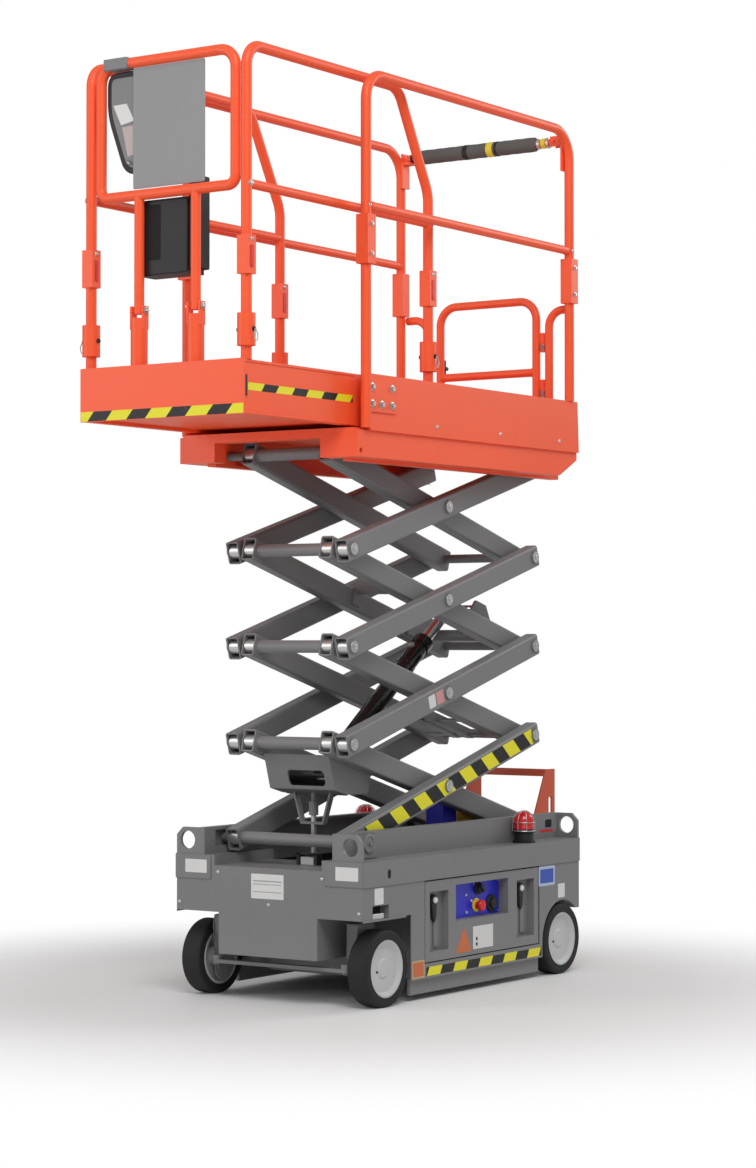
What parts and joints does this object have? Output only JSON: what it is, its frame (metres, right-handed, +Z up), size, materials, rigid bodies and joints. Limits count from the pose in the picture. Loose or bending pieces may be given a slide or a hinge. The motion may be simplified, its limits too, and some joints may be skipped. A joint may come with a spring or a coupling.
{
  "type": "scissor lift",
  "caption": "Self-propelled scissor lift with a folding link stack, a railed platform with a roll-out deck, steered front wheels and a single lift cylinder.",
  "frame": {"origin": "on the floor at the centre of the machine's outer box, with the roll-out deck out and the stack at its rest angle", "axes": "+X towards the steered wheels and the roll-out deck, +Y to the machine's left, +Z up"},
  "size_m": [2.126, 0.776, 3.037],
  "materials": {
    "grey_paint": "semi-gloss",
    "orange_paint": "semi-gloss",
    "tyre": "matte",
    "rim_paint": "semi-gloss",
    "black_plastic": "matte",
    "black_paint": "gloss",
    "chrome": "polished",
    "foam": "matte",
    "step_orange": "semi-gloss",
    "red_lens": "gloss",
    "blue_paint": "semi-gloss",
    "yellow_paint": "semi-gloss",
    "pale_paint": "semi-gloss"
  },
  "bodies": {
    "chassis": {"chassis_frame": "grey_paint", "batteries": "black_plastic", "entry_step": "step_orange", "beacons": "red_lens", "hydraulic_unit": "blue_paint", "oil_tank": "yellow_paint"},
    "door_left": {"side_door_left": "grey_paint", "control_panel": "blue_paint"},
    "door_right": {"side_door_right": "grey_paint"},
    "knuckle_left": {"knuckle_left": "grey_paint"},
    "knuckle_right": {"knuckle_right": "grey_paint"},
    "tie_rod": {"tie_rod": "grey_paint"},
    "wheel_front_left": {"tyre_front_left": "tyre", "rim_front_left": "rim_paint"},
    "wheel_front_right": {"tyre_front_right": "tyre", "rim_front_right": "rim_paint"},
    "wheel_rear_left": {"tyre_rear_left": "tyre", "rim_rear_left": "rim_paint"},
    "wheel_rear_right": {"tyre_rear_right": "tyre", "rim_rear_right": "rim_paint"},
    "outer_arms_1": {"outer_arms_1": "grey_paint"},
    "inner_arms_1": {"inner_arms_1": "grey_paint", "cylinder_bracket": "grey_paint"},
    "outer_arms_2": {"outer_arms_2": "grey_paint"},
    "inner_arms_2": {"inner_arms_2": "grey_paint", "hose_tray_2": "grey_paint"},
    "outer_arms_3": {"outer_arms_3": "grey_paint"},
    "inner_arms_3": {"inner_arms_3": "grey_paint", "eye_bracket": "grey_paint", "hose_tray_3": "grey_paint"},
    "outer_arms_4": {"outer_arms_4": "grey_paint"},
    "inner_arms_4": {"inner_arms_4": "grey_paint"},
    "cylinder_barrel": {"cylinder_barrel": "black_paint"},
    "cylinder_rod": {"cylinder_rod": "chrome"},
    "platform": {"platform_frame": "orange_paint", "main_rail_left": "orange_paint", "main_rail_right": "orange_paint", "gate_post_left": "orange_paint", "gate_post_right": "orange_paint"},
    "gate": {"gate": "orange_paint"},
    "drop_bar": {"drop_bar": "orange_paint", "drop_bar_foam": "foam"},
    "extension": {"extension_deck": "orange_paint", "extension_rail_left": "orange_paint", "extension_rail_right": "orange_paint"},
    "front_rail": {"front_rail": "orange_paint", "control_console": "black_plastic", "document_box": "black_plastic", "control_shield": "pale_paint"}
  },
  "joints": [
    {"name": "lift", "type": "hinge", "parent": "chassis", "child": "outer_arms_1", "pos_m": [0.368, 0, 0.528], "axis": [0, 1, 0], "range_deg": [-11.6, 34.1]},
    {"name": "scissor_1", "type": "hinge", "parent": "outer_arms_1", "child": "inner_arms_1", "pos_m": [-0.20515, 0, 0.68775], "axis": [0, 1, 0], "range_deg": [-71, 26]},
    {"name": "link_1", "type": "hinge", "parent": "inner_arms_1", "child": "outer_arms_2", "pos_m": [0.368, 0, 0.8475], "axis": [0, 1, 0], "range_deg": [-26, 71]},
    {"name": "scissor_2", "type": "hinge", "parent": "outer_arms_2", "child": "inner_arms_2", "pos_m": [-0.20515, 0, 1.00725], "axis": [0, 1, 0], "range_deg": [-71, 26]},
    {"name": "link_2", "type": "hinge", "parent": "inner_arms_2", "child": "outer_arms_3", "pos_m": [0.368, 0, 1.167], "axis": [0, 1, 0], "range_deg": [-26, 71]},
    {"name": "scissor_3", "type": "hinge", "parent": "outer_arms_3", "child": "inner_arms_3", "pos_m": [-0.20515, 0, 1.32675], "axis": [0, 1, 0], "range_deg": [-71, 26]},
    {"name": "link_3", "type": "hinge", "parent": "inner_arms_3", "child": "outer_arms_4", "pos_m": [0.368, 0, 1.4865], "axis": [0, 1, 0], "range_deg": [-26, 71]},
    {"name": "scissor_4", "type": "hinge", "parent": "outer_arms_4", "child": "inner_arms_4", "pos_m": [-0.20515, 0, 1.64625], "axis": [0, 1, 0], "range_deg": [-71, 26]},
    {"name": "platform_level", "type": "hinge", "parent": "inner_arms_4", "child": "platform", "pos_m": [0.368, 0, 1.806], "axis": [0, 1, 0], "range_deg": [-14, 37]},
    {"name": "barrel_swing", "type": "hinge", "parent": "inner_arms_1", "child": "cylinder_barrel", "pos_m": [0.20699, 0, 0.72196], "axis": [0, 1, 0], "range_deg": [-25, 69]},
    {"name": "rod_slide", "type": "slide", "parent": "cylinder_barrel", "child": "cylinder_rod", "axis": [-0.8088, 0, 0.588], "range_m": [-0.168, 0.475]},
    {"name": "steer_left", "type": "hinge", "parent": "chassis", "child": "knuckle_left", "pos_m": [0.3565, 0.262, 0.125], "axis": [0, 0, 1], "range_deg": [-38, 38]},
    {"name": "steer_right", "type": "hinge", "parent": "chassis", "child": "knuckle_right", "pos_m": [0.3565, -0.262, 0.125], "axis": [0, 0, 1], "range_deg": [-40, 40]},
    {"name": "tie_rod_swing", "type": "hinge", "parent": "knuckle_left", "child": "tie_rod", "pos_m": [0.4265, 0.262, 0.118], "axis": [0, 0, 1], "range_deg": [-40, 40]},
    {"name": "wheel_front_left_spin", "type": "hinge", "parent": "knuckle_left", "child": "wheel_front_left", "pos_m": [0.3565, 0.3375, 0.125], "axis": [0, 1, 0], "continuous": true},
    {"name": "wheel_front_right_spin", "type": "hinge", "parent": "knuckle_right", "child": "wheel_front_right", "pos_m": [0.3565, -0.3375, 0.125], "axis": [0, 1, 0], "continuous": true},
    {"name": "wheel_rear_left_spin", "type": "hinge", "parent": "chassis", "child": "wheel_rear_left", "pos_m": [-0.756, 0.3375, 0.125], "axis": [0, 1, 0], "continuous": true},
    {"name": "wheel_rear_right_spin", "type": "hinge", "parent": "chassis", "child": "wheel_rear_right", "pos_m": [-0.756, -0.3375, 0.125], "axis": [0, 1, 0], "continuous": true},
    {"name": "door_left_swing", "type": "hinge", "parent": "chassis", "child": "door_left", "pos_m": [-0.578, 0.366, 0.257], "axis": [0, 0, 1], "range_deg": [0, 95]},
    {"name": "door_right_swing", "type": "hinge", "parent": "chassis", "child": "door_right", "pos_m": [-0.578, -0.366, 0.257], "axis": [0, 0, -1], "range_deg": [0, 95]},
    {"name": "gate_swing", "type": "hinge", "parent": "platform", "child": "gate", "pos_m": [-0.86, 0.235, 2.163], "axis": [0, 0, 1], "range_deg": [0, 90], "stiffness_Nm_per_rad": 6, "springref_deg": -28.65},
    {"name": "drop_bar_lift", "type": "hinge", "parent": "platform", "child": "drop_bar", "pos_m": [-0.829, 0.312, 2.99], "axis": [-1, 0, 0], "range_deg": [0, 100]},
    {"name": "extension_slide", "type": "slide", "parent": "platform", "child": "extension", "axis": [-1, 0, 0], "range_m": [0, 0.52]},
    {"name": "front_rail_fold", "type": "hinge", "parent": "extension", "child": "front_rail", "pos_m": [1.029, 0, 2.225], "axis": [0, -1, 0], "range_deg": [0, 90]}
  ],
  "couplings": [
    {"joint": "scissor_1", "follows": "lift", "ratio": -2},
    {"joint": "link_1", "follows": "lift", "ratio": 2},
    {"joint": "scissor_2", "follows": "lift", "ratio": -2},
    {"joint": "link_2", "follows": "lift", "ratio": 2},
    {"joint": "scissor_3", "follows": "lift", "ratio": -2},
    {"joint": "link_3", "follows": "lift", "ratio": 2},
    {"joint": "scissor_4", "follows": "lift", "ratio": -2},
    {"joint": "platform_level", "follows": "lift", "ratio": 1},
    {"joint": "barrel_swing", "follows": "lift", "ratio": 1.9485},
    {"joint": "rod_slide", "follows": "lift", "m_per_rad": 0.7816},
    {"joint": "steer_right", "follows": "steer_left", "ratio": 1},
    {"joint": "tie_rod_swing", "follows": "steer_left", "ratio": -1}
  ]
}
